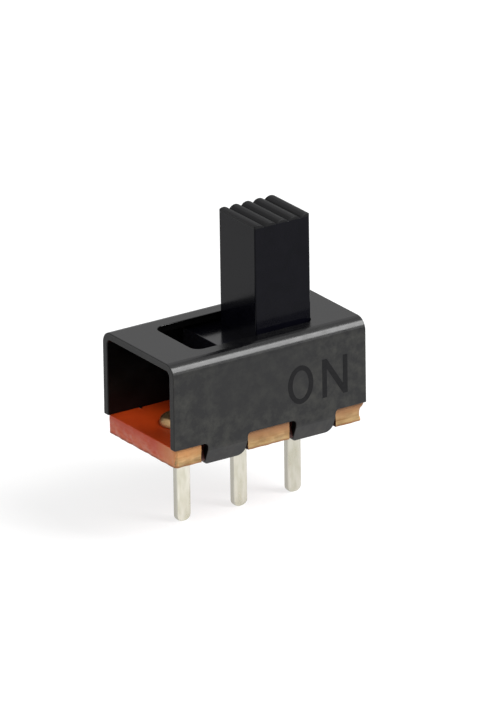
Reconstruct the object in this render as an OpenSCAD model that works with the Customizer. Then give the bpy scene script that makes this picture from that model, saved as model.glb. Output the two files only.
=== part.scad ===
// Miniature slide switch, single pole, two positions, for a printed board.
// A steel cover is folded over an insulating base board that carries three terminals.
// A moulded slider runs between them and drags a sprung contact over the terminal heads.
// +X runs along the slide, +Y across it and +Z up. The origin is in the middle of the
// base's underside, where the middle pin leaves it. The ends of the cover's fixing tabs
// reach a little lower, and the switch stands on them on the printed board.

/* [Terminals] */
// Distance between neighbouring pins
pin_pitch = 2.54; // [2.3:0.01:2.8]
// Width of a pin along the slide
pin_width = 0.6; // [0.4:0.05:0.8]
// Thickness of a pin across the slide
pin_thickness = 0.3; // [0.2:0.05:0.5]
// Length of a pin below the base
pin_length = 3.25; // [2:0.05:6]
// Corner radius of a pin's tip
pin_tip_radius = 0.16; // [0.05:0.01:0.2]
// Diameter of a terminal's contact head
head_diameter = 1.4; // [1.2:0.05:1.8]
// Height of the contact head above the base
head_height = 0.35; // [0.25:0.05:0.6]
// Radius of the contact head's upper edge
head_edge = 0.2; // [0.05:0.05:0.2]

/* [Base] */
// Thickness of the insulating base board
base_thickness = 0.75; // [0.6:0.05:1.6]
// How far the base stays back from each end of the cover
base_end_inset = 0.1; // [0:0.05:0.3]
// How far the base stays back from each outer side of the cover
base_side_inset = 0.12; // [0.02:0.02:0.24]
// Corner radius of the base
base_corner = 0.15; // [0.05:0.05:0.4]

/* [Cover] */
// Width of the cover over its two walls
cover_width = 4.86; // [4.4:0.02:6]
// Height of the cover above the top of the base
cover_height = 3.41; // [2.8:0.01:5]
// Thickness of the cover's steel sheet
sheet = 0.3; // [0.2:0.05:0.35]
// Inner radius of the cover's two long bends
bend_inner = 0.2; // [0.05:0.05:0.4]
// Corner radius of the slot that the handle comes out of
slot_corner = 0.4; // [0.1:0.05:0.5]
// How far the cover reaches past the carriage at the end of its travel
end_margin = 0.4; // [0.1:0.02:1]

/* [Fixing tabs] */
// Width of one fixing tab
tab_width = 1.9; // [1.4:0.1:2.2]
// Distance between the middles of the two tabs on one wall
tab_spacing = 4; // [3.2:0.1:4.6]
// Radius of a tab's lower corners
tab_corner = 0.3; // [0.1:0.05:0.35]
// Radius of the fillet where a tab leaves the wall
tab_root = 0.15; // [0.05:0.05:0.2]
// Height above the underside of the base at which a tab starts to lean in
tab_crimp = 0.5; // [0.3:0.05:0.6]
// Angle at which the crimped end leans in under the base
tab_lean = 22; // [5:1:30]
// How far the end of a tab reaches below the underside of the base
tab_drop = 0.2; // [0:0.02:0.3]
// Room in the base beside each edge of a tab
notch_gap = 0.2; // [0.1:0.05:0.3]

/* [Handle] */
// Width of the handle along the slide
handle_length = 2.5; // [1.8:0.05:3]
// Depth of the handle across the slide
handle_depth = 2.43; // [1.8:0.01:2.8]
// Height of the handle above the cover
handle_height = 4.29; // [1.5:0.01:8]
// Radius of the handle's upright edges
handle_edge = 0.06; // [0.02:0.01:0.3]
// Number of finger ridges on top of the handle
ridge_count = 5; // [2:1:7]
// Radius of one finger ridge
ridge_radius = 0.17; // [0.08:0.01:0.2]

/* [Carriage] */
// Thickness of the wall at each end of the contact's pocket
carriage_end_wall = 0.57; // [0.4:0.01:1]
// Radius of the carriage's upright edges
carriage_edge = 0.2; // [0.05:0.05:0.4]

/* [Moving contact] */
// Width of the moving contact across the slide
contact_width = 1.5; // [1:0.05:1.7]
// Thickness of the moving contact's spring strip
contact_sheet = 0.12; // [0.08:0.01:0.16]
// Rise of the contact's bow above its two feet
contact_bow = 1; // [0.6:0.05:1.3]
// Length of the upturned end beyond each foot
contact_tip = 0.64; // [0.3:0.02:0.7]
// Width of the slit that parts each end into two fingers
contact_slit = 0.3; // [0.1:0.05:0.5]
// Length of unslit strip in the middle of the contact
contact_land = 1.1; // [0.6:0.1:1.6]

/* [Clearances] */
// Room between the carriage and the inside of each cover wall
side_gap = 0.1; // [0.05:0.01:0.15]
// Room between the top of the carriage and the cover
top_gap = 0.16; // [0.05:0.01:0.2]
// Room between the carriage's feet and the base
foot_gap = 0.05; // [0.02:0.01:0.1]
// Room between the handle and each long side of the slot
slot_side_gap = 0.23; // [0.05:0.01:0.3]
// Room left between the handle and the slot's end at the end of its travel
stop_gap = 0.03; // [0.01:0.01:0.06]
// Travel past the middle of each contact head
overtravel = 0.16; // [0:0.01:0.2]
// Room between the carriage's channel and the sides of the contact heads
channel_gap = 0.15; // [0.05:0.05:0.3]
// Room between the roof of the channel and the contact heads
channel_lift = 0.1; // [0.05:0.05:0.2]
// Room round the moving contact in its pocket
pocket_gap = 0.05; // [0.02:0.01:0.1]
// Running clearance between the moving contact and the heads
contact_gap = 0.01; // [0.005:0.005:0.02]

/* [Hidden] */
$fn = 48;
overlap = 0.1; // how far joined shapes run into each other
clear = 1; // how far a cut runs past the face that it opens
leaf_steps = 24; // steps along one half wave of the moving contact
tip_steps = 10; // steps along one upturned end of the moving contact

// The slide: feet stand on neighbouring heads, so the travel follows the pitch.
travel = pin_pitch + 2 * overtravel;
foot_offset = pin_pitch / 2;
contact_reach = foot_offset + contact_tip;
pocket_length = 2 * (contact_reach + pocket_gap);
pocket_width = contact_width + 2 * pocket_gap;
carriage_length = pocket_length + 2 * carriage_end_wall;
rest_x = travel / 2;

// The cover takes in the carriage at both ends of its travel.
cover_length = carriage_length + travel + 2 * end_margin;
bend_outer = bend_inner + sheet;
inner_width = cover_width - 2 * sheet;
slot_length = handle_length + travel + 2 * stop_gap;
slot_width = handle_depth + 2 * slot_side_gap;
base_length = cover_length - 2 * base_end_inset;
base_width = cover_width - 2 * base_side_inset;

// Levels above the underside of the base
cover_top = base_thickness + cover_height;
cover_ceiling = cover_top - sheet;
head_top = base_thickness + head_height;
channel_width = head_diameter + 2 * channel_gap;
channel_top = head_top + channel_lift;
contact_foot = head_top + contact_gap;
pocket_top = contact_foot + contact_bow + contact_sheet;
carriage_width = inner_width - 2 * side_gap;
carriage_foot = base_thickness + foot_gap;
carriage_top = cover_ceiling - top_gap;
handle_top = cover_top + handle_height;

// A rectangle with round corners, centred on the origin.
module round_rectangle(length, width, radius) {
    square([length - 2 * radius, width], center = true);
    square([length, width - 2 * radius], center = true);
    for (x = [-1, 1], y = [-1, 1])
        translate([x * (length / 2 - radius), y * (width / 2 - radius)])
            circle(radius);
}

// A rectangle that stands on the X axis, with its two upper corners rounded.
module arched_rectangle(width, height, radius) {
    translate([-width / 2, 0])
        square([width, height - radius]);
    translate([-width / 2 + radius, 0])
        square([width - 2 * radius, height]);
    for (side = [-1, 1])
        translate([side * (width / 2 - radius), height - radius])
            circle(radius);
}

// Carries a flat outline (across, up) along the slide, centred on the origin.
module along_slide(length) {
    translate([-length / 2, 0, 0])
        rotate([90, 0, 90])
            linear_extrude(length)
                children();
}

// Carries a flat outline (along, up) across the slide, centred on the origin.
module across_slide(width) {
    translate([0, width / 2, 0])
        rotate([90, 0, 0])
            linear_extrude(width)
                children();
}

// Section of a tab, measured in from the wall's outer face: upright, then leaning in.
// The lean starts at the height of the crimp, and the sharp turn is mitred. The lower end
// is level.
module tab_section(thickness, top, below) {
    turn = thickness * tan(tab_lean / 2);
    lean_in = (tab_crimp + below) * tan(tab_lean);
    polygon([
        [0, top],
        [0, tab_crimp],
        [lean_in, -below],
        [lean_in + thickness / cos(tab_lean), -below],
        [thickness, tab_crimp + turn],
        [thickness, top]
    ]);
}

// Outline of a tab seen from its own side, with filleted roots and round lower corners.
module tab_outline() {
    top = base_thickness + overlap;
    translate([0, top])
        mirror([0, 1])
            arched_rectangle(tab_width, top + tab_drop, tab_corner);
    for (side = [-1, 1])
        translate([side * tab_width / 2, base_thickness])
            scale_x(side)
                difference() {
                    translate([-overlap, -tab_root])
                        square([tab_root + overlap, tab_root + overlap]);
                    translate([tab_root, -tab_root])
                        circle(tab_root);
                }
}

// Mirrors a flat shape left to right when side is -1.
module scale_x(side) {
    if (side > 0)
        children();
    else
        mirror([1, 0])
            children();
}

// One tab, standing below the wall at -Y.
module tab() {
    intersection() {
        along_slide(tab_width + 4 * tab_root)
            translate([-cover_width / 2, 0])
                tab_section(sheet, base_thickness + overlap, tab_drop);
        across_slide(2 * cover_width)
            tab_outline();
    }
}

// Puts its child below both walls, at both tab places.
module at_tabs() {
    for (side = [0, 180], x = [-1, 1])
        rotate([0, 0, side])
            translate([x * tab_spacing / 2, 0, 0])
                children();
}

// Sheet steel folded into a channel, open at both ends, with a slot for the handle.
module cover() {
    color("#2d2d30") {
        difference() {
            translate([0, 0, base_thickness])
                along_slide(cover_length)
                    difference() {
                        arched_rectangle(cover_width, cover_height, bend_outer);
                        translate([0, -clear])
                            arched_rectangle(inner_width,
                                cover_height - sheet + clear, bend_inner);
                    }
            translate([0, 0, cover_ceiling - sheet])
                linear_extrude(3 * sheet)
                    round_rectangle(slot_length, slot_width, slot_corner);
        }
        at_tabs()
            tab();
    }
}

// Room for one tab in the edge of the base, with a slope that the crimped end grips.
module tab_notch() {
    along_slide(tab_width + 2 * notch_gap)
        translate([-cover_width / 2, 0])
            union() {
                tab_section(sheet, base_thickness + clear, clear);
                translate([-clear, -clear])
                    square([clear + overlap, base_thickness + 2 * clear]);
            }
}

// Punched board of resin-bonded paper, slotted for the three pins.
module base() {
    color("#c87a48")
        difference() {
            linear_extrude(base_thickness)
                round_rectangle(base_length, base_width, base_corner);
            at_tabs()
                tab_notch();
            for (place = [-1 : 1])
                translate([place * pin_pitch, 0, base_thickness / 2])
                    cube([pin_width, pin_thickness, base_thickness + 2 * clear],
                        center = true);
        }
}

// Half section of a contact head: a flat button with a rounded upper edge.
module head_section() {
    radius = head_diameter / 2;
    square([radius - head_edge, head_height]);
    square([radius, head_height - head_edge]);
    translate([radius - head_edge, head_height - head_edge])
        intersection() {
            circle(head_edge);
            square(head_edge);
        }
}

// One terminal: a contact head that sits on the base, and a flat pin down through it.
module terminal(place) {
    stem = base_thickness + pin_length + overlap;
    color("#dcd8c8")
        translate([place * pin_pitch, 0, 0]) {
            translate([0, 0, base_thickness])
                rotate_extrude()
                    head_section();
            translate([0, 0, base_thickness + overlap])
                mirror([0, 0, 1])
                    across_slide(pin_thickness)
                        arched_rectangle(pin_width, stem, pin_tip_radius);
        }
}

module left_terminal() {
    terminal(-1);
}

module common_terminal() {
    terminal(0);
}

module right_terminal() {
    terminal(1);
}

// Outline of the handle from the side: a plain top with a row of half-round ridges.
module handle_outline() {
    valley = handle_top - ridge_radius;
    ridge_span = handle_length - 2 * ridge_radius;
    ridge_step = ridge_span / (ridge_count - 1);
    translate([-handle_length / 2, carriage_top - overlap])
        square([handle_length, valley - carriage_top + overlap]);
    for (i = [0 : ridge_count - 1])
        translate([i * ridge_step - ridge_span / 2, valley])
            intersection() {
                circle(ridge_radius);
                translate([-ridge_radius, 0])
                    square([2 * ridge_radius, ridge_radius]);
            }
}

// The handle: upright edges rounded, ridges across its whole depth.
module handle() {
    intersection() {
        across_slide(handle_depth)
            handle_outline();
        linear_extrude(handle_top)
            round_rectangle(handle_length, handle_depth, handle_edge);
    }
}

// The carriage: a block that straddles the contact heads, with a pocket for the contact.
module carriage() {
    difference() {
        translate([0, 0, carriage_foot])
            linear_extrude(carriage_top - carriage_foot)
                round_rectangle(carriage_length, carriage_width, carriage_edge);
        translate([-carriage_length / 2 - clear, -channel_width / 2, 0])
            cube([carriage_length + 2 * clear, channel_width, channel_top]);
        translate([-pocket_length / 2, -pocket_width / 2, carriage_foot])
            cube([pocket_length, pocket_width, pocket_top - carriage_foot]);
    }
}

// Handle and carriage, moulded as one.
module slider() {
    color("#1f2022")
        translate([rest_x, 0, 0]) {
            handle();
            carriage();
        }
}

// The contact's strip is one wave: a bow in the middle, a foot at each side of it and
// an upturned end beyond. Height is half the bow's rise times one plus the cosine.
function leaf_height(x) = contact_bow * (1 + cos(180 * x / foot_offset)) / 2;
function leaf_slope(x) = -contact_bow * PI / (2 * foot_offset) * sin(180 * x / foot_offset);
// A point at a distance from the strip's middle line, square to it
function leaf_point(x, distance) =
    let (slope = leaf_slope(x), long = sqrt(1 + slope * slope))
    [x - distance * slope / long, leaf_height(x) + distance / long];
// Stations along half of the strip, with one exactly at the foot
leaf_half = concat(
    [for (i = [0 : leaf_steps]) foot_offset * i / leaf_steps],
    [for (i = [1 : tip_steps]) foot_offset + contact_tip * i / tip_steps]
);
leaf_stations = concat(
    [for (i = [len(leaf_half) - 1 : -1 : 1]) -leaf_half[i]],
    leaf_half
);

module contact_outline() {
    last = len(leaf_stations) - 1;
    polygon(concat(
        [for (i = [0 : last]) leaf_point(leaf_stations[i], contact_sheet / 2)],
        [for (i = [last : -1 : 0]) leaf_point(leaf_stations[i], -contact_sheet / 2)]
    ));
}

// Spring strip, bowed so that it bears on the pocket's roof and on two heads, with each
// end slit into two fingers.
module moving_contact() {
    slit_length = contact_reach - contact_land / 2 + clear;
    color("#c9a26a")
        translate([rest_x, 0, contact_foot + contact_sheet / 2])
            difference() {
                across_slide(contact_width)
                    contact_outline();
                for (side = [-1, 1])
                    translate([side * (contact_land + slit_length) / 2, 0, 0])
                        cube([slit_length, contact_slit, 4 * contact_bow], center = true);
            }
}

cover();
base();
left_terminal();
common_terminal();
right_terminal();
slider();
moving_contact();
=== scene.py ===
import math

import bmesh
import bpy
import numpy as np
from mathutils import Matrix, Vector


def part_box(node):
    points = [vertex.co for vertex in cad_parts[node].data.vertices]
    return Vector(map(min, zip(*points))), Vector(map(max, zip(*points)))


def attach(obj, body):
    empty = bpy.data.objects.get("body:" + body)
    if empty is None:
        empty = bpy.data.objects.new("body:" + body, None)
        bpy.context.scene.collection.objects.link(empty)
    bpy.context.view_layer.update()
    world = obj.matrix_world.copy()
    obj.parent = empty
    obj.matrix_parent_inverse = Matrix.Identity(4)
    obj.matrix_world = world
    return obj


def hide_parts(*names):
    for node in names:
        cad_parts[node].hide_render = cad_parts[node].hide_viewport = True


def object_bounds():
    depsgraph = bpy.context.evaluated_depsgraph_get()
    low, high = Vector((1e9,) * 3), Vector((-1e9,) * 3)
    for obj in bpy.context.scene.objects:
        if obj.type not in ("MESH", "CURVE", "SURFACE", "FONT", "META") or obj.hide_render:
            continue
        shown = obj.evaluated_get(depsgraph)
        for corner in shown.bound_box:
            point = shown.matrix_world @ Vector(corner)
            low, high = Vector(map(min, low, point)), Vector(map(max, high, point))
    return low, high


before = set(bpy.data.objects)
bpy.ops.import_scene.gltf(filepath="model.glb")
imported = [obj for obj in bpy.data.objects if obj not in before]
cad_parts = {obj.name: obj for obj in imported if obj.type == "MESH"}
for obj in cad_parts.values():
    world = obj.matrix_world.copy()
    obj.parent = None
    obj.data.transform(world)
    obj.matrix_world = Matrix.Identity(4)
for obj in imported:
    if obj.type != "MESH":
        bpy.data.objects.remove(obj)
cadLow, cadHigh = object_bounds()
scene = bpy.context.scene
scene.view_settings.view_transform = "Standard"

mm = 0.001      # pieces are shaped in millimetres and finished in metres
softTurn = 38   # edges that turn by more than this are rounded, degrees
sharpTurn = 48  # edges that turn by more than this stay sharp in the shading
beyond = 1.0    # how far a cutter reaches past what it cuts


def nodeBox(node):
    # lowest and highest corner of a CAD node, in millimetres
    low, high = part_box(node)
    return np.array(low) / mm, np.array(high) / mm


coverLow, coverHigh = nodeBox("cover")
baseLow, baseHigh = nodeBox("base")
sliderLow, sliderHigh = nodeBox("slider")
contactLow, contactHigh = nodeBox("moving_contact")


# small tools for shapes

def arc(centre, radius, start, end, steps):
    # points on a circle: centre plus radius times cosine and sine, between two angles in degrees
    angle = np.radians(np.linspace(start, end, steps + 1))
    return np.stack([centre[0] + radius * np.cos(angle),
                     centre[1] + radius * np.sin(angle)], axis=1)


def roundRectangle(length, width, radius, steps, centre=(0.0, 0.0)):
    # four quarter circles, one at each corner, joined by straight sides
    x, y = length / 2 - radius, width / 2 - radius
    corners = [(x, y, 0), (-x, y, 90), (-x, -y, 180), (x, -y, 270)]
    parts = [arc((centre[0] + cx, centre[1] + cy), radius, a, a + 90, steps)
             for cx, cy, a in corners]
    return np.concatenate(parts)


def gridObject(name, points, wrapRows=False):
    # rows of points make a closed skin: each row is a loop, neighbouring rows are joined by
    # quads, and the first and last row are closed by one face each or joined to each other
    rows, columns = points.shape[:2]
    index = np.arange(rows * columns).reshape(rows, columns)
    if wrapRows:
        index = np.concatenate([index, index[:1]])
    turned = np.roll(index, -1, axis=1)
    quads = np.stack([index[:-1], turned[:-1], turned[1:], index[1:]], axis=-1)
    faces = quads.reshape(-1, 4).tolist()
    if not wrapRows:
        faces += [index[0][::-1].tolist(), index[-1].tolist()]
    mesh = bpy.data.meshes.new(name)
    mesh.from_pydata(points.reshape(-1, 3).tolist(), [], faces)
    piece = bpy.data.objects.new(name, mesh)
    scene.collection.objects.link(piece)
    faceOutwards(piece)
    return piece


def faceOutwards(piece):
    shape = bmesh.new()
    shape.from_mesh(piece.data)
    bmesh.ops.recalc_face_normals(shape, faces=shape.faces)
    shape.to_mesh(piece.data)
    shape.free()


def prism(name, outline, low, high, axis):
    # an outline carried straight along one axis, from low to high
    across = [i for i in range(3) if i != axis]
    points = np.zeros((2, len(outline), 3))
    points[:, :, across] = outline
    points[:, :, axis] = [[low], [high]]
    return gridObject(name, points)


def applyModifiers(piece):
    graph = bpy.context.evaluated_depsgraph_get()
    mesh = bpy.data.meshes.new_from_object(piece.evaluated_get(graph))
    piece.modifiers.clear()
    worn, piece.data = piece.data, mesh
    bpy.data.meshes.remove(worn)


def combine(piece, tool, operation):
    # cuts a tool shape away from a piece, or joins it on
    step = piece.modifiers.new("combine", "BOOLEAN")
    step.operation = operation
    step.solver = "EXACT"
    step.object = tool
    applyModifiers(piece)
    bpy.data.objects.remove(tool)


def softenEdges(piece, width, steps=3):
    soft = piece.modifiers.new("soften", "BEVEL")
    soft.width = width
    soft.segments = steps
    soft.limit_method = "ANGLE"
    soft.angle_limit = math.radians(softTurn)
    soft.use_clamp_overlap = False
    applyModifiers(piece)


def finishPiece(piece, material, body, replaced):
    # evens the normals by face area, brings the piece to metres and hands it to its body
    piece.data.polygons.foreach_set("use_smooth", [True] * len(piece.data.polygons))
    piece.data.set_sharp_from_angle(angle=math.radians(sharpTurn))
    even = piece.modifiers.new("even", "WEIGHTED_NORMAL")
    even.weight = 100
    even.thresh = 0.0
    even.keep_sharp = True
    applyModifiers(piece)
    piece.data.transform(((mm, 0, 0, 0), (0, mm, 0, 0), (0, 0, mm, 0), (0, 0, 0, 1)))
    piece.data.materials.clear()
    piece.data.materials.append(material)
    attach(piece, body)
    if replaced:
        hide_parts(*replaced)


def faceFacts(mesh):
    # each face's normal, and its middle in millimetres
    normals, middles = np.zeros((2, len(mesh.polygons) * 3))
    mesh.polygons.foreach_get("normal", normals)
    mesh.polygons.foreach_get("center", middles)
    return normals.reshape(-1, 3), middles.reshape(-1, 3) / mm


def faceKinds(piece, test):
    # writes the attribute "kind" on the faces: the test gives up to three shares from 0 to 1
    values = np.zeros((len(piece.data.polygons), 3), np.float32)
    for column, share in enumerate(test(*faceFacts(piece.data))):
        values[:, column] = share
    kinds = piece.data.attributes.new("kind", "FLOAT_VECTOR", "FACE")
    kinds.data.foreach_set("vector", values.ravel())


def secondMaterial(piece, material, test):
    # the faces that pass the test take a second material
    piece.data.materials.append(material)
    chosen = test(*faceFacts(piece.data)).astype(np.int32)
    piece.data.polygons.foreach_set("material_index", chosen)


# small tools for materials

def hexColour(code):
    # sRGB hex to linear: each channel is divided by 12.92 where dark, else raised to 2.4
    channels = [int(code[i:i + 2], 16) / 255 for i in (1, 3, 5)]
    linear = [c / 12.92 if c <= 0.04045 else ((c + 0.055) / 1.055) ** 2.4 for c in channels]
    return (*linear, 1.0)


def addNode(tree, kind, values=None, links=None, **settings):
    # one node with its settings, the values of its sockets, and what feeds them
    node = tree.nodes.new(kind)
    for name, value in settings.items():
        setattr(node, name, value)
    for socket, value in (values or {}).items():
        node.inputs[socket].default_value = value
    for socket, source in (links or {}).items():
        tree.links.new(source, node.inputs[socket])
    return node


def newMaterial(name):
    material = bpy.data.materials.new(name)
    material.use_nodes = True
    tree = material.node_tree
    tree.nodes.clear()
    return material, tree


def handlingMarks(tree, place, height, cloud):
    # the cloud's brighter parts, wiped off the top by fingers and thinned by a thumb in a
    # soft ellipse in the middle of the front wall
    marks = addNode(tree, "ShaderNodeMapRange", {"From Min": 0.42, "From Max": 0.68},
                    {"Value": cloud})
    top = coverHigh[2]
    wiped = addNode(tree, "ShaderNodeMapRange",
                    {"From Min": (top - 0.55) * mm, "From Max": (top - 0.05) * mm,
                     "To Min": 1.0, "To Max": 0.08}, {"Value": height})
    thumb = addNode(tree, "ShaderNodeMapping",
                    {"Location": (-0.6 * mm, coverLow[1] * mm, 2.9 * mm),
                     "Scale": (3.4 * mm, 1.2 * mm, 1.9 * mm)},
                    {"Vector": place}, vector_type="TEXTURE")
    soft = addNode(tree, "ShaderNodeTexGradient", None, {"Vector": thumb.outputs["Vector"]},
                   gradient_type="SPHERICAL")
    thinned = addNode(tree, "ShaderNodeMapRange",
                      {"From Max": 0.5, "To Min": 1.0, "To Max": 0.4},
                      {"Value": soft.outputs["Fac"]})
    kept = wiped.outputs["Result"]
    for share in (thinned, marks):
        kept = addNode(tree, "ShaderNodeMath", None, {0: kept, 1: share.outputs["Result"]},
                       operation="MULTIPLY").outputs[0]
    return kept


def coatedSteel(name, gloss, clean, marked):
    # steel strip with a thin black stoved coat: its greys come from the gloss, a faint cloud
    # of handling marks keeps the broad walls from looking even, and the top is rubbed smooth
    material, tree = newMaterial(name)
    place = addNode(tree, "ShaderNodeTexCoord").outputs["Object"]
    parts = addNode(tree, "ShaderNodeSeparateXYZ", None, {"Vector": place})
    height, top = parts.outputs["Z"], coverHigh[2]
    cloud = addNode(tree, "ShaderNodeTexNoise",
                    {"Scale": 1 / (0.6 * mm), "Detail": 5.0, "Roughness": 0.65},
                    {"Vector": place})
    marks = handlingMarks(tree, place, height, cloud.outputs["Fac"])
    tone = addNode(tree, "ShaderNodeMix", {"A": hexColour(clean), "B": hexColour(marked)},
                   {"Factor": marks}, data_type="RGBA")
    dull = addNode(tree, "ShaderNodeMapRange",
                   {"From Min": 0.3, "From Max": 0.7, "To Min": 0.31, "To Max": 0.4},
                   {"Value": cloud.outputs["Fac"]})
    rubbed = addNode(tree, "ShaderNodeMapRange",
                     {"From Min": (top - 0.16) * mm, "From Max": (top - 0.02) * mm,
                      "To Min": 1.0, "To Max": 0.68}, {"Value": height})
    roughness = addNode(tree, "ShaderNodeMath", None,
                        {0: dull.outputs["Result"], 1: rubbed.outputs["Result"]},
                        operation="MULTIPLY")
    peel = addNode(tree, "ShaderNodeTexNoise",
                   {"Scale": 1 / (0.16 * mm), "Detail": 3.0}, {"Vector": place})
    relief = addNode(tree, "ShaderNodeBump",
                     {"Strength": 0.25, "Distance": 0.004 * mm}, {"Height": peel.outputs["Fac"]})
    coat = addNode(tree, "ShaderNodeBsdfPrincipled", {"IOR": 1.48, "Specular IOR Level": gloss},
                   {"Base Color": tone.outputs["Result"], "Roughness": roughness.outputs[0],
                    "Normal": relief.outputs["Normal"]})
    addNode(tree, "ShaderNodeOutputMaterial", None, {"Surface": coat.outputs["BSDF"]})
    return material


def blackNylon(name, gloss):
    # glass-filled nylon moulded in a fine spark-eroded tool: near black, satin and a little
    # blue, greyer and duller on the finger ridges; where it rubs on steel it is polished
    material, tree = newMaterial(name)
    place = addNode(tree, "ShaderNodeTexCoord").outputs["Object"]
    cloud = addNode(tree, "ShaderNodeTexNoise",
                    {"Scale": 1 / (0.6 * mm), "Detail": 4.0, "Roughness": 0.6},
                    {"Vector": place})
    moulded = addNode(tree, "ShaderNodeMix",
                      {"A": hexColour("#020207"), "B": hexColour("#0f0f16")},
                      {"Factor": cloud.outputs["Fac"]}, data_type="RGBA")
    parts = addNode(tree, "ShaderNodeSeparateXYZ", None, {"Vector": place})
    onRidges = addNode(tree, "ShaderNodeMapRange",
                       {"From Min": (sliderHigh[2] - 0.17) * mm,
                        "From Max": (sliderHigh[2] - 0.12) * mm},
                       {"Value": parts.outputs["Z"]})
    tone = addNode(tree, "ShaderNodeMix", {"B": hexColour("#1e1e1f")},
                   {"Factor": onRidges.outputs["Result"], "A": moulded.outputs["Result"]},
                   data_type="RGBA")
    dull = addNode(tree, "ShaderNodeMapRange", {"To Min": 0.16, "To Max": 0.45},
                   {"Value": onRidges.outputs["Result"]})
    grain = addNode(tree, "ShaderNodeTexNoise",
                    {"Scale": 1 / (0.06 * mm), "Detail": 2.0}, {"Vector": place})
    relief = addNode(tree, "ShaderNodeBump",
                     {"Strength": 0.15, "Distance": 0.003 * mm}, {"Height": grain.outputs["Fac"]})
    plastic = addNode(tree, "ShaderNodeBsdfPrincipled", {"IOR": 1.53, "Specular IOR Level": gloss},
                      {"Base Color": tone.outputs["Result"], "Roughness": dull.outputs["Result"],
                       "Normal": relief.outputs["Normal"]})
    addNode(tree, "ShaderNodeOutputMaterial", None, {"Surface": plastic.outputs["BSDF"]})
    return material


def laminateFace(tree, parts, cloud):
    # the resin's uneven orange-red, with painted light on it: darker at the back and brighter
    # towards the front, against the front wall's shade
    even = addNode(tree, "ShaderNodeMix",
                   {"A": hexColour("#be3606"), "B": hexColour("#dd4e10")},
                   {"Factor": cloud}, data_type="RGBA")
    # painted light: the colour is scaled from 0.76 at the back to 1.3 at the front
    paler = addNode(tree, "ShaderNodeMapRange",
                    {"From Min": 0.5 * mm, "From Max": -2.2 * mm, "To Min": 0.76, "To Max": 1.3},
                    {"Value": parts.outputs["Y"]})
    face = addNode(tree, "ShaderNodeMix", {"Factor": 1.0},
                   {"A": even.outputs["Result"], "B": paler.outputs["Result"]},
                   data_type="RGBA", blend_type="MULTIPLY")
    return face.outputs["Result"]


def laminateSide(tree, parts, up, blotch):
    # a long side: blotched tan where it is torn, and paler towards the left end where it is
    # burnished
    torn = addNode(tree, "ShaderNodeMix",
                   {"A": hexColour("#8d6c3e"), "B": hexColour("#c2a374")},
                   {"Factor": blotch}, data_type="RGBA")
    left = addNode(tree, "ShaderNodeMapRange", {"From Min": -2.6 * mm, "From Max": -3.3 * mm},
                   {"Value": parts.outputs["X"]})
    burnished = addNode(tree, "ShaderNodeMix",
                        {"A": hexColour("#a4744e"), "B": hexColour("#d3955f")},
                        {"Factor": left.outputs["Result"]}, data_type="RGBA")
    side = addNode(tree, "ShaderNodeMix", None,
                   {"Factor": up, "A": torn.outputs["Result"],
                    "B": burnished.outputs["Result"]}, data_type="RGBA")
    return side.outputs["Result"]


def laminateEnd(tree, parts, up, blotch):
    # an end: blotched pink where it is torn, orange-red where it is burnished, and tan at its
    # corner with the front side
    torn = addNode(tree, "ShaderNodeMix",
                   {"A": hexColour("#da5436"), "B": hexColour("#e78b6a")},
                   {"Factor": blotch}, data_type="RGBA")
    across = addNode(tree, "ShaderNodeMix", {"B": hexColour("#cd4316")},
                     {"Factor": up, "A": torn.outputs["Result"]}, data_type="RGBA")
    corner = addNode(tree, "ShaderNodeMapRange",
                     {"From Min": -0.9 * mm, "From Max": -2.3 * mm},
                     {"Value": parts.outputs["Y"]})
    end = addNode(tree, "ShaderNodeMix", {"B": hexColour("#eb9f68")},
                  {"Factor": corner.outputs["Result"], "A": across.outputs["Result"]},
                  data_type="RGBA")
    return end.outputs["Result"]


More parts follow.
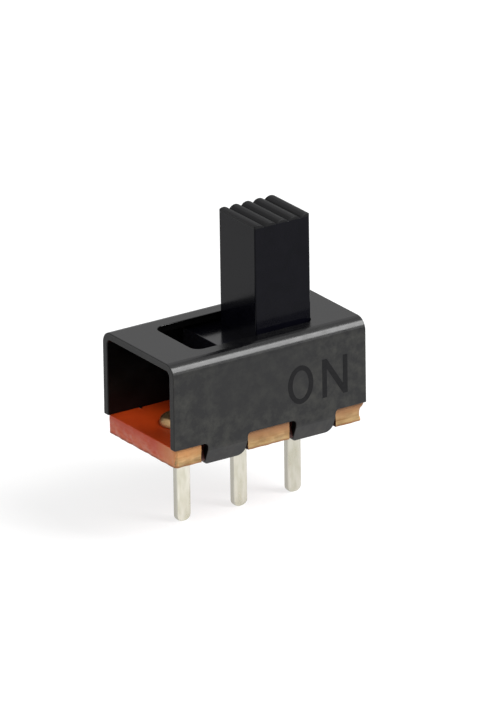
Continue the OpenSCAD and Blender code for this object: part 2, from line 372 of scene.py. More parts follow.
def phenolicLaminate():
    # resin-bonded paper board: orange-red faces; the punch burnishes the upper part of an
    # edge and tears the rest, so that the ends pale to pink and the long sides to tan
    material, tree = newMaterial("phenolicLaminate")
    place = addNode(tree, "ShaderNodeTexCoord").outputs["Object"]
    parts = addNode(tree, "ShaderNodeSeparateXYZ", None, {"Vector": place})
    cloud = addNode(tree, "ShaderNodeTexNoise",
                    {"Scale": 1 / (0.9 * mm), "Detail": 5.0, "Roughness": 0.65},
                    {"Vector": place})
    # height in the edge, from 0 at the torn lower rim to 1 at the top, waved by the cloud
    wave = addNode(tree, "ShaderNodeMath", {1: 0.5 * mm, 2: -0.25 * mm},
                   {0: cloud.outputs["Fac"]}, operation="MULTIPLY_ADD")
    raised = addNode(tree, "ShaderNodeMath", None,
                     {0: parts.outputs["Z"], 1: wave.outputs[0]}, operation="ADD")
    up = addNode(tree, "ShaderNodeMapRange",
                 {"From Min": 0.1 * mm, "From Max": 0.65 * mm}, {"Value": raised.outputs[0]})
    # the paper's layers show as long blotches where they are torn
    flat = addNode(tree, "ShaderNodeMapping", {"Scale": (1.0, 1.0, 5.0)}, {"Vector": place})
    ply = addNode(tree, "ShaderNodeTexNoise",
                  {"Scale": 1 / (0.8 * mm), "Detail": 5.0, "Roughness": 0.6},
                  {"Vector": flat.outputs["Vector"]})
    blotch = addNode(tree, "ShaderNodeMapRange", {"From Min": 0.32, "From Max": 0.68},
                     {"Value": ply.outputs["Fac"]})
    kind = addNode(tree, "ShaderNodeAttribute", attribute_name="kind")
    which = addNode(tree, "ShaderNodeSeparateXYZ", None, {"Vector": kind.outputs["Vector"]})
    sided = addNode(tree, "ShaderNodeMix", None,
                    {"Factor": which.outputs["X"],
                     "A": laminateFace(tree, parts, cloud.outputs["Fac"]),
                     "B": laminateSide(tree, parts, up.outputs["Result"],
                                       blotch.outputs["Result"])}, data_type="RGBA")
    ended = addNode(tree, "ShaderNodeMix", None,
                    {"Factor": which.outputs["Y"], "A": sided.outputs["Result"],
                     "B": laminateEnd(tree, parts, up.outputs["Result"],
                                      blotch.outputs["Result"])}, data_type="RGBA")
    # painted shade: a darker brown band at the lower rim of the edges, standing in for the shade
    # line under the board's bottom edge
    rim = addNode(tree, "ShaderNodeMapRange",
                  {"From Min": 0.1 * mm, "From Max": 0.03 * mm, "To Max": 0.6},
                  {"Value": parts.outputs["Z"]})
    onRim = addNode(tree, "ShaderNodeMath", None,
                    {0: rim.outputs["Result"], 1: which.outputs["X"]}, operation="MULTIPLY")
    rimShaded = addNode(tree, "ShaderNodeMix", {"B": hexColour("#80492c")},
                      {"Factor": onRim.outputs[0], "A": ended.outputs["Result"]},
                      data_type="RGBA")
    # painted shade: the walls of the notches are coloured dark maroon, standing in for the deep
    # shade inside them
    tone = addNode(tree, "ShaderNodeMix", {"B": hexColour("#3c1710")},
                   {"Factor": which.outputs["Z"], "A": rimShaded.outputs["Result"]},
                   data_type="RGBA")
    relief = addNode(tree, "ShaderNodeBump",
                     {"Strength": 0.4, "Distance": 0.012 * mm}, {"Height": ply.outputs["Fac"]})
    board = addNode(tree, "ShaderNodeBsdfPrincipled",
                    {"IOR": 1.55, "Roughness": 0.42, "Specular IOR Level": 0.3},
                    {"Base Color": tone.outputs["Result"], "Normal": relief.outputs["Normal"]})
    addNode(tree, "ShaderNodeOutputMaterial", None, {"Surface": board.outputs["BSDF"]})
    return material


def tinPlate():
    # matt tin plate on brass: a pale warm metal drawn in long streaks, greyer on the narrow
    # sides where the strip was sheared, partly as painted shade
    material, tree = newMaterial("tinPlate")
    place = addNode(tree, "ShaderNodeTexCoord").outputs["Object"]
    kind = addNode(tree, "ShaderNodeAttribute", attribute_name="kind")
    drawn = addNode(tree, "ShaderNodeMapping", {"Scale": (1.0, 1.0, 0.3)}, {"Vector": place})
    cloud = addNode(tree, "ShaderNodeTexNoise",
                    {"Scale": 1 / (0.25 * mm), "Detail": 4.0}, {"Vector": drawn.outputs["Vector"]})
    streak = addNode(tree, "ShaderNodeMapRange", {"From Min": 0.35, "From Max": 0.65},
                     {"Value": cloud.outputs["Fac"]})
    broad = addNode(tree, "ShaderNodeMix",
                    {"A": hexColour("#dad7c4"), "B": hexColour("#f0ede0")},
                    {"Factor": streak.outputs["Result"]}, data_type="RGBA")
    which = addNode(tree, "ShaderNodeSeparateXYZ", None, {"Vector": kind.outputs["Vector"]})
    parts = addNode(tree, "ShaderNodeSeparateXYZ", None, {"Vector": place})
    # the pins are made darker from left to right, the right one the darkest
    darkerRightward = addNode(tree, "ShaderNodeMapRange",
                     {"From Min": -2.5 * mm, "From Max": 2.5 * mm, "To Min": 0.9, "To Max": 0.72},
                     {"Value": parts.outputs["X"]})
    shaded = addNode(tree, "ShaderNodeMix", {"Factor": 1.0},
                     {"A": broad.outputs["Result"], "B": darkerRightward.outputs["Result"]},
                     data_type="RGBA", blend_type="MULTIPLY")
    # partly painted shade: the narrow sides take a darker grey
    tone = addNode(tree, "ShaderNodeMix", {"B": hexColour("#bdbbb0")},
                   {"Factor": which.outputs["X"], "A": shaded.outputs["Result"]},
                   data_type="RGBA")
    dull = addNode(tree, "ShaderNodeMapRange",
                   {"From Min": 0.3, "From Max": 0.7, "To Min": 0.26, "To Max": 0.38},
                   {"Value": cloud.outputs["Fac"]})
    relief = addNode(tree, "ShaderNodeBump",
                     {"Strength": 0.3, "Distance": 0.006 * mm}, {"Height": cloud.outputs["Fac"]})
    plate = addNode(tree, "ShaderNodeBsdfPrincipled", {"Metallic": 1.0},
                    {"Base Color": tone.outputs["Result"], "Roughness": dull.outputs["Result"],
                     "Normal": relief.outputs["Normal"]})
    addNode(tree, "ShaderNodeOutputMaterial", None, {"Surface": plate.outputs["BSDF"]})
    return material


def warmMetal(name, dark, light, roughness):
    # bare copper alloy: a warm metal with fine rolling lines along the strip
    material, tree = newMaterial(name)
    place = addNode(tree, "ShaderNodeTexCoord").outputs["Object"]
    long = addNode(tree, "ShaderNodeMapping", {"Scale": (1.0, 12.0, 1.0)}, {"Vector": place})
    lines = addNode(tree, "ShaderNodeTexNoise",
                    {"Scale": 1 / (0.6 * mm), "Detail": 3.0}, {"Vector": long.outputs["Vector"]})
    tone = addNode(tree, "ShaderNodeMix",
                   {"A": hexColour(dark), "B": hexColour(light)},
                   {"Factor": lines.outputs["Fac"]}, data_type="RGBA")
    strip = addNode(tree, "ShaderNodeBsdfPrincipled", {"Metallic": 1.0, "Roughness": roughness},
                    {"Base Color": tone.outputs["Result"]})
    addNode(tree, "ShaderNodeOutputMaterial", None, {"Surface": strip.outputs["BSDF"]})
    return material


def markingInk():
    # thin black stamping ink, a little duller than the coat below it
    material, tree = newMaterial("stampingInk")
    place = addNode(tree, "ShaderNodeTexCoord").outputs["Object"]
    blot = addNode(tree, "ShaderNodeTexNoise",
                   {"Scale": 1 / (0.15 * mm), "Detail": 3.0}, {"Vector": place})
    tone = addNode(tree, "ShaderNodeMix",
                   {"A": hexColour("#050507"), "B": hexColour("#161618")},
                   {"Factor": blot.outputs["Fac"]}, data_type="RGBA")
    ink = addNode(tree, "ShaderNodeBsdfPrincipled",
                  {"IOR": 1.45, "Roughness": 0.45, "Specular IOR Level": 0.2},
                  {"Base Color": tone.outputs["Result"]})
    addNode(tree, "ShaderNodeOutputMaterial", None, {"Surface": ink.outputs["BSDF"]})
    return material


# inside and on the sheared edges the steel's coat is thinner, duller and cleaner
steel = coatedSteel("blackCoatedSteel", 0.455, "#030305", "#2c2c28")
dullSteel = coatedSteel("dullCoatedSteel", 0.2, "#030303", "#0a0a0a")
nylon = blackNylon("mouldedNylon", 0.082)
rubbedNylon = blackNylon("rubbedNylon", 0.45)
laminate = phenolicLaminate()
tin = tinPlate()
bronze = warmMetal("springBronze", "#b98a55", "#d0a571", 0.28)
brass = warmMetal("wornBrass", "#ae8a60", "#c9a67a", 0.4)
ink = markingInk()
print("materials ready")


# cover: a folded strip with a slot and four tabs

cover = {
    "sheet": 0.3,         # thickness of the steel, mm
    "bendRadius": 0.5,    # outer radius of the two long bends
    "bendSteps": 14,
    "crimpSteps": 4,
    "tabWidth": 1.805,
    "tabSpacing": 3.99,
    "tabShift": 0.058,    # how far the tabs' middle is to the right of the cover's
    "tabCorners": (0.14, 0.32),   # a tab's lower left and lower right corner
    "cornerSteps": 8,
    "tabRoot": 0.15,      # fillet where a tab meets the wall
    "rootSteps": 5,
    "tabSpare": 0.1,      # the strip is folded this much too long, then cut
    "crimpHeight": 0.5,   # height below which a tab leans in
    "crimpAngle": 22.0,   # degrees
    "crimpRadius": 0.45,  # outer radius where the lean starts
    "slotLength": 5.42,
    "slotWidth": 2.89,
    "slotCorner": 0.4,
    "slotSteps": 10,
    "edge": 0.035,        # softening of the sheared edges
}
wallFoot = baseHigh[2]


def coverSection(values):
    # half of the section is an outer and an inner line at one sheet's distance: a leaning
    # crimp, an upright wall and a quarter-circle bend; the other half is its mirror image
    half, top = coverHigh[1], coverHigh[2]
    sheet, lean = values["sheet"], values["crimpAngle"]
    outer = values["crimpRadius"]
    turn = (-half + outer,
            values["crimpHeight"] + outer * math.tan(math.radians(lean / 2)))
    low = coverLow[2] - values["tabSpare"]
    foot = np.array([-half + (values["crimpHeight"] - low) * math.tan(math.radians(lean)), low])
    footIn = foot + [sheet / math.cos(math.radians(lean)), 0.0]
    bend = values["bendRadius"]
    crown = (-half + bend, top - bend)
    outside = np.concatenate([[foot], arc(turn, outer, 180 + lean, 180, values["crimpSteps"]),
                              arc(crown, bend, 180, 90, values["bendSteps"])])
    inside = np.concatenate([[footIn],
                             arc(turn, outer - sheet, 180 + lean, 180, values["crimpSteps"]),
                             arc(crown, bend - sheet, 180, 90, values["bendSteps"])])
    flip = np.array([-1.0, 1.0])
    return np.concatenate([outside, outside[::-1] * flip, inside * flip, inside[::-1]])


def tabEdge(values):
    # the wall's lower edge from left to right: each tab starts in a fillet, runs down its
    # side, rounds its two corners and comes back up to a fillet
    parts = []
    half, root, low = values["tabWidth"] / 2, values["tabRoot"], coverLow[2]
    sharp, blunt = values["tabCorners"]
    corner, fillet = values["cornerSteps"], values["rootSteps"]
    for side in (-0.5, 0.5):
        middle = values["tabShift"] + side * values["tabSpacing"]
        left, right = middle - half, middle + half
        parts += [arc((left - root, wallFoot - root), root, 90, 0, fillet),
                  arc((left + sharp, low + sharp), sharp, 180, 270, corner),
                  arc((right - blunt, low + blunt), blunt, 270, 360, corner),
                  arc((right + root, wallFoot - root), root, 180, 90, fillet)]
    reach = coverHigh[0] + beyond
    return np.concatenate([[[-reach, wallFoot]], *parts,
                           [[reach, wallFoot], [reach, -beyond], [-reach, -beyond]]])


def makeCover(values):
    shell = prism("coverShell", coverSection(values), coverLow[0], coverHigh[0], 0)
    below = prism("cutter", tabEdge(values), coverLow[1] - beyond, coverHigh[1] + beyond, 1)
    combine(shell, below, "DIFFERENCE")
    slot = roundRectangle(values["slotLength"], values["slotWidth"], values["slotCorner"],
                          values["slotSteps"])
    through = prism("cutter", slot, coverHigh[2] - 2 * values["sheet"], coverHigh[2] + beyond, 2)
    combine(shell, through, "DIFFERENCE")
    softenEdges(shell, values["edge"])
    finishPiece(shell, steel, "housing", ["cover"])

    def isDull(normals, middles):
        # inner faces, sheared ends and lower rims
        inner = (np.abs(middles[:, 1]) < coverHigh[1] - values["sheet"] + 0.02) & \
                (middles[:, 2] < coverHigh[2] - 0.05)
        return inner | (np.abs(normals[:, 0]) > 0.85) | (normals[:, 2] < -0.7)

    secondMaterial(shell, dullSteel, isDull)


makeCover(cover)
print("cover ready")


# marking: plain letters stamped on the front wall

marking = {
    "middleX": 2.15,    # place of the word's middle on the wall, mm
    "middleZ": 2.15,
    "height": 1.55,
    "letterWidth": 1.14,
    "gap": 0.42,
    "stroke": 0.2,
    "slant": 0.4,       # thickness of the N's slanting stroke, measured straight up
    "thickness": 0.006,
    "steps": 48,        # round the O
}


def makeMarking(values):
    # the O is the ring between two ellipses, and the N one outline of three joined strokes
    face, thick = coverLow[1], values["thickness"]
    width, height, stroke = values["letterWidth"], values["height"], values["stroke"]
    xO = values["middleX"] - (width + values["gap"]) / 2
    xN = values["middleX"] + (width + values["gap"]) / 2
    angle = np.linspace(0, 2 * math.pi, values["steps"] + 1)[:-1]
    ring = np.stack([np.cos(angle), np.sin(angle)], axis=1)
    inner = ring * [width / 2 - stroke, height / 2 - stroke]
    outer = ring * [width / 2, height / 2]
    points = np.zeros((values["steps"], 4, 3))
    for column, (loop, y) in enumerate([(outer, face - thick), (inner, face - thick),
                                        (inner, face + thick), (outer, face + thick)]):
        points[:, column, 0] = loop[:, 0] + xO
        points[:, column, 1] = y
        points[:, column, 2] = loop[:, 1] + values["middleZ"]
    letterO = gridObject("letterO", points, wrapRows=True)
    w, h, s, slant = width / 2, height / 2, stroke, values["slant"]
    outline = np.array([[-w, -h], [-w + s, -h], [-w + s, h - slant], [w - s, -h],
                        [w, -h], [w, h], [w - s, h], [w - s, -h + slant],
                        [-w + s, h], [-w, h]]) + [xN, values["middleZ"]]
    letterN = prism("letterN", outline, face - thick, face + thick, 1)
    for letter in (letterO, letterN):
        finishPiece(letter, ink, "housing", None)


makeMarking(marking)
print("marking ready")


# terminals: flat pins, each with a round contact head

terminal = {
    "sides": ("left", "common", "right"),
    "pinShift": (0.06, 0.1, 0.03),    # how far each pin stands off its even place, mm
    "headShift": (-0.15, 0.0, 0.0),   # and each head off its pin
    "pinWidth": 0.64,
    "pinThickness": 0.33,
    "pinCorner": 0.1,     # rounding of the pin's long edges
    "leastCorner": 0.02,  # the least that it closes to at the tip
    "cornerSteps": 4,
    "tipRadius": 0.26,
    "tipSteps": 9,
    "pinSteps": 12,
    "pinTop": 0.1,        # how far the pin reaches into its head
    "headDome": 0.3,      # width of the rounded shoulder of a head
    "domeSteps": 12,
    "headFoot": 0.03,     # chamfer at the foot of a head
    "headSteps": 56,
}


def pinMiddle(place, values):
    low, high = nodeBox(values["sides"][place] + "_terminal")
    return (low[0] + high[0]) / 2 + values["pinShift"][place]


def makeTerminal(place, values):
    name = values["sides"][place]
    low, high = nodeBox(name + "_terminal")
    middle = pinMiddle(place, values)
    # the pin: a round-cornered rectangle at each height; near the tip its width follows a
    # circle of the tip radius, its thickness closes by 0.3 of that and its corners by 0.1
    radius, top = values["tipRadius"], baseHigh[2] + values["pinTop"]
    near = radius * (1 - np.cos(np.linspace(0, math.pi / 2, values["tipSteps"])))
    heights = np.concatenate([low[2] + near,
                              np.linspace(low[2] + radius, top, values["pinSteps"])[1:]])
    depth = np.clip(heights - low[2], 0, radius)
    narrow = radius - np.sqrt(np.clip(radius ** 2 - (radius - depth) ** 2, 0, None))
    rings = [roundRectangle(values["pinWidth"] - 2 * n, values["pinThickness"] - 0.6 * n,
                            max(values["leastCorner"], values["pinCorner"] - 0.2 * n),
                            values["cornerSteps"], (middle, 0.0))
             for n in narrow]
    points = np.dstack([np.stack(rings),
                        np.broadcast_to(heights[:, None], (len(heights), len(rings[0])))])
    pin = gridObject(name + "TerminalPin", points)
    # the head: a profile of radius and height turned about the pin's line; its shoulder is a
    # quarter of an ellipse
    dome, reach = values["headDome"], (high[0] - low[0]) / 2
    foot = baseHigh[2] + values["headFoot"]
    quarter = arc((0.0, 0.0), 1.0, 0, 90, values["domeSteps"])
    shoulder = quarter * [dome, high[2] - foot] + [reach - dome, foot]
    profile = np.concatenate([[[reach - values["headFoot"], baseHigh[2]]], shoulder])
    turn = np.linspace(0, 2 * math.pi, values["headSteps"] + 1)[:-1]
    head = np.zeros((len(profile), len(turn), 3))
    head[:, :, 0] = middle + values["headShift"][place] + profile[:, :1] * np.cos(turn)
    head[:, :, 1] = profile[:, :1] * np.sin(turn)
    head[:, :, 2] = profile[:, 1:]
    combine(pin, gridObject("head", head), "UNION")
    finishPiece(pin, tin, "housing", [name + "_terminal"])

    def shearedShadedSides(normals, middles):
        # the pin's narrow sides, where the strip was cut; their greyer tone is partly painted
        # shade
        return [(np.abs(normals[:, 0]) > 0.6) & (middles[:, 2] < baseHigh[2])]

    faceKinds(pin, shearedShadedSides)
    # the tin has worn off the heads
    secondMaterial(pin, brass, lambda normals, middles: middles[:, 2] > baseHigh[2])


for place in range(len(terminal["sides"])):
    makeTerminal(place, terminal)
print("terminals ready")


# base: a punched board, smooth at the top of its edge and torn towards the bottom

base = {
    "corner": 0.15,
    "cornerSteps": 5,
    "nearGap": 0.24,         # room at the left side of a near tab, mm
    "farGap": 0.12,          # the same at the far tabs
    "rightGap": 0.06,        # room at the right side of each tab
    "notchRoom": 0.01,       # room between a tab and the deep part of its notch
    "notchStep": (0.1, 0.3), # depth of the notch in the left room, at the bottom and the top
    "notchTop": 0.2,         # height over which that depth stays as at the top
    "spacing": 0.09,         # distance between points along the edge
    "levels": 12,            # rings of points from the underside to the rounding
    "rounding": 0.05,        # of the upper edges, on the side that the punch enters
    "roundingTurns": (20, 40, 60, 80),   # where on the quarter circle its rings are, degrees
    "roundingEnd": 0.985,    # the last ring is lifted to the top, but drawn in as at this share
    "tear": 0.014,           # how far the torn part of the edge wanders
    "tearFade": (1.25, 1.3, 0.15),       # its strength at the bottom, fall by height, and least
    "waves": 26,             # how many sine waves make up the tear
    "waveCounts": (9, 90),   # how often a wave goes round the board, at least and at most
    "waveLean": 14,          # how far it turns over the edge's height at most, radians
    "waveStart": 6.28,       # where it starts at most, radians
    "seed": 7,               # of the waves' draws
    "chip": 0.2,             # depth of a chip in the right end, by the front corner
    "chipHeight": 0.33,      # of its middle above the underside
    "chipReach": 0.17,       # half height
    "lip": 0.13,             # how far the end juts out above the chip
    "lipReach": 0.3,
    "damageWidth": 0.35,     # half width of both, along the end
    "damageDepth": 0.12,     # only points this near to the end are moved by them
    "endDepth": 0.2,         # faces this near to an end belong to it
    "notchShadeDepth": 0.07,           # faces deeper than this behind the long sides are a notch's, and take painted shade
}


def notchFloor(height):
    # inner face of a leaning tab at a height: upright above the crimp, sloped below it
    lean = math.radians(cover["crimpAngle"])
    turn = cover["crimpHeight"] + cover["sheet"] * math.tan(lean / 2)
    inner = coverHigh[1] - cover["sheet"] - base["notchRoom"]
    return inner - max(0.0, turn - height) * math.tan(lean)


def notchRow(height, leftGap, values):
    # the two notches of a long side: a shallow step beside the tab, then its own deep part;
    # the step's depth grows evenly with height until it is full
    y, floor = baseHigh[1], notchFloor(height)
    shallow, deep = values["notchStep"]
    slant = min(1.0, (height - baseLow[2]) / (baseHigh[2] - baseLow[2] - values["notchTop"]))
    step = -y + shallow + (deep - shallow) * slant
    row = []
    for side in (-0.5, 0.5):
        middle = cover["tabShift"] + side * cover["tabSpacing"]
        left, right = middle - cover["tabWidth"] / 2, middle + cover["tabWidth"] / 2
        start, beside = left - leftGap, left - values["notchRoom"]
        end = right + values["rightGap"]
        row += [[start, -y], [start, step], [beside, step], [beside, -floor],
                [end, -floor], [end, -y]]
    return np.array(row)


def baseOutline(height, values):
    # a rectangle with round corners and a row of notches on each long side
    x, y = baseHigh[0], baseHigh[1]
    r, steps = values["corner"], values["cornerSteps"]
    near = notchRow(height, values["nearGap"], values)
    far = notchRow(height, values["farGap"], values)[::-1] * [1.0, -1.0]
    return np.concatenate([arc((-x + r, -y + r), r, 180, 270, steps), near,
                           arc((x - r, -y + r), r, 270, 360, steps),
                           arc((x - r, y - r), r, 0, 90, steps), far,
                           arc((-x + r, y - r), r, 90, 180, steps)])


def baseLevels(values):
    # rings rise evenly to the rounding and then along its quarter circle, by which they draw
    # in; gives their heights, and how far in each one is
    low, high, r = baseLow[2], baseHigh[2], values["rounding"]
    turn = np.radians(values["roundingTurns"])
    levels = np.concatenate([np.linspace(low, high - r, values["levels"]),
                             high - r + r * np.sin(turn)])
    levels[-1] = high
    risen = np.clip(levels - high + r, 0, r * values["roundingEnd"])
    return levels, r - np.sqrt(r ** 2 - risen ** 2)


def denseLoop(outline, counts):
    # each side of a loop is parted into its own number of equal steps
    following = np.roll(outline, -1, axis=0)
    return np.concatenate([a + (b - a) * np.linspace(0, 1, n, endpoint=False)[:, None]
                           for a, b, n in zip(outline, following, counts)])


def outwardOf(loops):
    # the way out at each point: square to the line from the point before it to the next
    tangent = np.roll(loops, -1, axis=1) - np.roll(loops, 1, axis=1)
    tangent /= np.linalg.norm(tangent, axis=2, keepdims=True)
    return np.stack([tangent[:, :, 1], -tangent[:, :, 0]], axis=2)


def tearPush(loops, up, values):
    # the tear is a sum of sines with drawn phases, faded out over the smooth upper part and
    # held in from the straight edge
    draw = np.random.default_rng(values["seed"])
    least, most = values["waveCounts"]
    lean, start = values["waveLean"], values["waveStart"]
    along = np.arange(loops.shape[1])[None, :] / loops.shape[1] * 2 * math.pi
    wander = sum(np.sin(along * int(draw.integers(least, most)) + up * draw.uniform(-lean, lean)
                        + draw.uniform(0, start))
                 for _ in range(values["waves"])) / values["waves"] ** 0.5
    strength, fall, weakest = values["tearFade"]
    return values["tear"] * (wander - 1.0) * np.clip(strength - fall * up, weakest, 1.0)


def chipAndLip(loops, level, values):
    # both are bell curves in the end's width and height, by the front corner
    low, high = baseLow[2], baseHigh[2]
    across = (loops[:, :, 1] + baseHigh[1]) / values["damageWidth"]
    chip = values["chip"] * np.exp(
        -across ** 2 - ((level - low - values["chipHeight"]) / values["chipReach"]) ** 2)
    lip = values["lip"] * np.exp(-across ** 2 - ((level - high) / values["lipReach"]) ** 2)
    atEnd = loops[:, :, 0] > baseHigh[0] - values["damageDepth"]
    return chip * atEnd, lip * atEnd


def makeBase(values):
    low, high = baseLow[2], baseHigh[2]
    x, y = baseHigh[0], baseHigh[1]
    levels, inset = baseLevels(values)
    level, inset = levels[:, None], inset[:, None]
    first = baseOutline(high, values)
    sides = np.linalg.norm(np.roll(first, -1, axis=0) - first, axis=1)
    counts = np.maximum(1, np.round(sides / values["spacing"])).astype(int)
    loops = np.stack([denseLoop(baseOutline(z, values), counts) for z in levels])
    # the notches keep clean walls: only the outside is torn and rounded
    outside = (np.abs(loops[:, :, 1]) > y - 0.01) | \
              (np.abs(loops[:, :, 0]) > x - values["endDepth"])
    tear = tearPush(loops, (level - low) / (high - low), values)
    chip, lip = chipAndLip(loops, level, values)
    push = tear * outside - chip - inset * outside
    loops = loops + outwardOf(loops) * push[:, :, None]
    loops[:, :, 0] += lip
    points = np.dstack([loops, np.broadcast_to(level, loops.shape[:2])])
    board = gridObject("baseBoard", points)
    for place in range(len(terminal["sides"])):
        slot = roundRectangle(terminal["pinWidth"], terminal["pinThickness"],
                              terminal["leastCorner"], 2, (pinMiddle(place, terminal), 0.0))
        combine(board, prism("cutter", slot, low - beyond, high + beyond, 2), "DIFFERENCE")
    finishPiece(board, laminate, "housing", ["base"])

    def edges(normals, middles):
        # shares of a face that belong to the edges, to the two ends and to a notch's walls;
        # the second rises from 0 to 1 as a face's normal turns along x
        upright = np.abs(normals[:, 2]) < 0.75
        nearEnd = np.abs(middles[:, 0]) > x - values["endDepth"]
        facesEnd = np.clip(np.abs(normals[:, 0]) * 2 - 0.8, 0, 1)
        inNotch = upright & ~nearEnd & (np.abs(middles[:, 1]) < y - values["notchShadeDepth"])
        return [upright, upright * nearEnd * facesEnd, inNotch]

    faceKinds(board, edges)


makeBase(base)
print("base ready")


# slider: handle and carriage in one moulding

slider = {
    "handleLength": 2.5,     # mm
    "handleDepth": 2.43,
    "handleEdge": 0.06,      # rounding of the handle's front and back
    "edgeSteps": 7,
    "handleRoot": 0.1,       # how deep the handle reaches into the carriage
    "ridges": 5,
    "ridgePitch": 0.54,
    "ridgeHeight": 0.13,
    "ridgeGroove": 0.02,     # half width of the flat between two ridges
    "ridgeSteps": 12,
    "carriageTop": 3.70,
    "carriageCorner": 0.2,
    "cornerSteps": 6,
    "channelWidth": 1.7,     # a channel along the carriage clears the contact heads
    "channelTop": 1.20,
    "pocketRoom": 0.05,      # room round the moving contact
    "edge": 0.035,           # softening of the carriage's edges
}


def handleOutline(middle, values):
    # an upright rectangle whose top is a row of shallow arcs; each arc's radius follows from
    # its height and half its width, and the outer arcs are cut off by the handle's sides
    half, pitch, count = values["handleLength"] / 2, values["ridgePitch"], values["ridges"]
    wide, rise = pitch / 2 - values["ridgeGroove"], values["ridgeHeight"]
    radius = (wide ** 2 + rise ** 2) / (2 * rise)
    centres = (np.arange(count) - (count - 1) / 2) * pitch
    ridges = []
    for x in centres:
        left, right = min(wide, x + half), min(wide, half - x)
        ridges.append(arc((middle + x, sliderHigh[2] - radius), radius,
                          90 + math.degrees(math.asin(left / radius)),
                          90 - math.degrees(math.asin(right / radius)),
                          values["ridgeSteps"]))
    low = values["carriageTop"] - values["handleRoot"]
    return np.concatenate([[[middle + half, low], [middle - half, low]], *ridges])


def makeSlider(values):
    middle = (sliderLow[0] + sliderHigh[0]) / 2
    half = values["handleDepth"] / 2
    # the handle's outline is carried along y; over a quarter circle at each end it draws in
    # and sinks by the edge's rounding
    turn = np.radians(np.linspace(0, 90, values["edgeSteps"]))
    edge = values["handleEdge"]
    stations = np.concatenate([-half + edge * (1 - np.sin(turn[::-1])),
                               half - edge * (1 - np.sin(turn))])
    inset = edge * (1 - np.cos(np.concatenate([turn[::-1], turn])))
    outline = handleOutline(middle, values)
    points = np.zeros((len(stations), len(outline), 3))
    narrower = 1 - 2 * inset / values["handleLength"]
    points[:, :, 0] = middle + (outline[None, :, 0] - middle) * narrower[:, None]
    points[:, :, 1] = stations[:, None]
    points[:, :, 2] = outline[None, :, 1] - inset[:, None]
    handle = gridObject("handle", points)
    block = roundRectangle(sliderHigh[0] - sliderLow[0], sliderHigh[1] - sliderLow[1],
                           values["carriageCorner"], values["cornerSteps"], (middle, 0.0))
    carriage = prism("sliderMoulding", block, sliderLow[2], values["carriageTop"], 2)
    wide = values["channelWidth"] / 2
    channel = np.array([[-wide, 0], [wide, 0], [wide, values["channelTop"]],
                        [-wide, values["channelTop"]]])
    combine(carriage, prism("cutter", channel, sliderLow[0] - beyond, sliderHigh[0] + beyond, 0),
            "DIFFERENCE")
    softenEdges(carriage, values["edge"])
    room = values["pocketRoom"]
    pocket = np.array([[contactLow[0] - room, 0], [contactHigh[0] + room, 0],
                       [contactHigh[0] + room, contactHigh[2]],
                       [contactLow[0] - room, contactHigh[2]]])
    combine(carriage, prism("cutter", pocket, contactLow[1] - room, contactHigh[1] + room, 1),
            "DIFFERENCE")
    combine(carriage, handle, "UNION")
    finishPiece(carriage, nylon, "slider", ["slider"])
    secondMaterial(carriage, rubbedNylon,
                   lambda normals, middles: middles[:, 2] < values["carriageTop"] + 0.01)


makeSlider(slider)
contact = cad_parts["moving_contact"]
contact.data.materials.clear()
contact.data.materials.append(bronze)
print("slider ready")


# floor, light and camera

stage = {
    "floorSize": 3.0,
    "floorColour": "#969696",
    "floorLift": 0.73,     # light added for the eye only, so that a pale floor shows white
    "horizonTone": 0.58,   # the studio is darker near the horizon than overhead
    "worldStrength": 0.6,
}

keyLight = {
    "size": (0.22, 0.34),
    "direction": (0.507, -0.51, 0.70),
    "distance": 0.5,
    "power": 3.4,
}
fillLight = {
    "size": (0.5, 0.5),
    "direction": (-0.80, -0.45, 0.40),
    "distance": 0.8,
    "power": 0.8,
}


def seenRays(tree):
    # 1 for what is seen, straight, in a reflection or through glass, else 0
    path = addNode(tree, "ShaderNodeLightPath")
    seen = path.outputs["Is Camera Ray"]
    for ray in ("Is Glossy Ray", "Is Transmission Ray"):
        seen = addNode(tree, "ShaderNodeMath", None, {0: seen, 1: path.outputs[ray]},
                       operation="ADD", use_clamp=True).outputs[0]
    return seen


def makeFloor(values):
    half = values["floorSize"] / 2
    height = cadLow[2]
    mesh = bpy.data.meshes.new("floor")
    corners = [(-half, -half, height), (half, -half, height), (half, half, height),
               (-half, half, height)]
    mesh.from_pydata(corners, [], [(0, 1, 2, 3)])
    floor = bpy.data.objects.new("floor", mesh)
    scene.collection.objects.link(floor)
    material, tree = newMaterial("paleFloor")
    paint = addNode(tree, "ShaderNodeBsdfDiffuse", {"Color": hexColour(values["floorColour"])})
    lift = addNode(tree, "ShaderNodeMath", {1: values["floorLift"]}, {0: seenRays(tree)},
                   operation="MULTIPLY")
    glow = addNode(tree, "ShaderNodeEmission", None, {"Strength": lift.outputs[0]})
    both = addNode(tree, "ShaderNodeAddShader", None,
                   {0: paint.outputs["BSDF"], 1: glow.outputs["Emission"]})
    addNode(tree, "ShaderNodeOutputMaterial", None, {"Surface": both.outputs["Shader"]})
    mesh.materials.append(material)


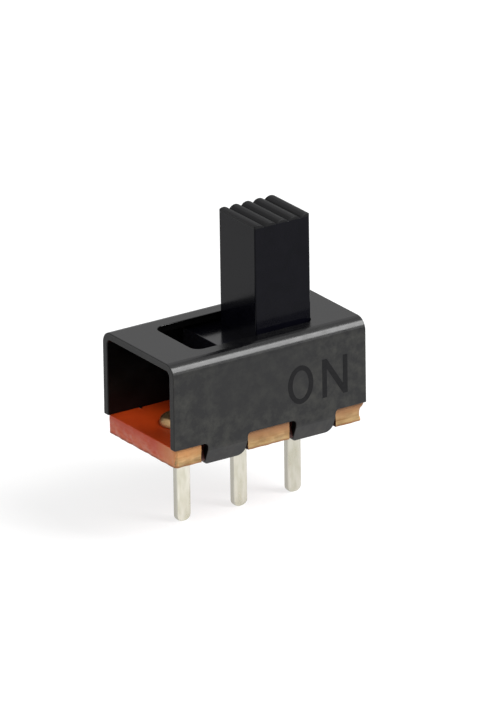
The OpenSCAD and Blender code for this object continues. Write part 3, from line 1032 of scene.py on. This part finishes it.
def makeWorld(values):
    world = bpy.data.worlds.new("studio")
    world.use_nodes = True
    tree = world.node_tree
    tree.nodes.clear()
    level = addNode(tree, "ShaderNodeMapRange",
                    {"To Min": values["worldStrength"], "To Max": 1.0},
                    {"Value": seenRays(tree)})
    way = addNode(tree, "ShaderNodeSeparateXYZ", None,
                  {"Vector": addNode(tree, "ShaderNodeTexCoord").outputs["Generated"]})
    height = addNode(tree, "ShaderNodeMapRange",
                     {"From Min": 0.25, "From Max": 0.9, "To Min": values["horizonTone"]},
                     {"Value": way.outputs["Z"]})
    strength = addNode(tree, "ShaderNodeMath", None,
                       {0: level.outputs["Result"], 1: height.outputs["Result"]},
                       operation="MULTIPLY")
    sky = addNode(tree, "ShaderNodeBackground", {"Color": (1, 1, 1, 1)},
                  {"Strength": strength.outputs[0]})
    addNode(tree, "ShaderNodeOutputWorld", None, {"Surface": sky.outputs["Background"]})
    scene.world = world


def makeSoftbox(name, values):
    # a square-on lamp: it stands at a distance in its direction and faces the object
    lamp = bpy.data.lights.new(name, "AREA")
    lamp.shape = "RECTANGLE"
    lamp.size, lamp.size_y = values["size"]
    lamp.energy = values["power"]
    towards = np.array(values["direction"])
    place = towards / np.linalg.norm(towards) * values["distance"]
    holder = bpy.data.objects.new(name, lamp)
    holder.location = place
    holder.rotation_euler = Vector(place).to_track_quat("Z", "Y").to_euler()
    scene.collection.objects.link(holder)


view = {
    "azimuth": 33.408,     # degrees that the camera stands round from the front, to the left
    "elevation": 21.469,
    "roll": 0.836,
    "distance": 0.43814,
    "lens": 579.17,
    "sensorWidth": 36.0,
    "target": (0.1856, -0.0868, 2.6755),   # the point that it looks at, mm
}


def makeCamera(values):
    # the camera stands back from its target along the line of sight, turned by the roll
    a, e, r = (math.radians(values[k]) for k in ("azimuth", "elevation", "roll"))
    ahead = np.array([math.sin(a) * math.cos(e), math.cos(a) * math.cos(e), -math.sin(e)])
    level = np.array([math.cos(a), -math.sin(a), 0.0])
    upright = np.cross(level, ahead)
    right = level * math.cos(r) - upright * math.sin(r)
    up = np.cross(right, ahead)
    place = np.array(values["target"]) * mm - ahead * values["distance"]
    camera = bpy.data.cameras.new("camera")
    camera.sensor_width = values["sensorWidth"]
    camera.lens = values["lens"]
    camera.clip_start = 0.01
    camera.clip_end = 10.0
    holder = bpy.data.objects.new("camera", camera)
    turned = Matrix(np.stack([right, up, -ahead], axis=1).tolist()).to_4x4()
    holder.matrix_world = Matrix.Translation(place.tolist()) @ turned
    scene.collection.objects.link(holder)
    scene.camera = holder


makeFloor(stage)
makeWorld(stage)
makeSoftbox("keyLight", keyLight)
makeSoftbox("fillLight", fillLight)
makeCamera(view)
print("stage ready")
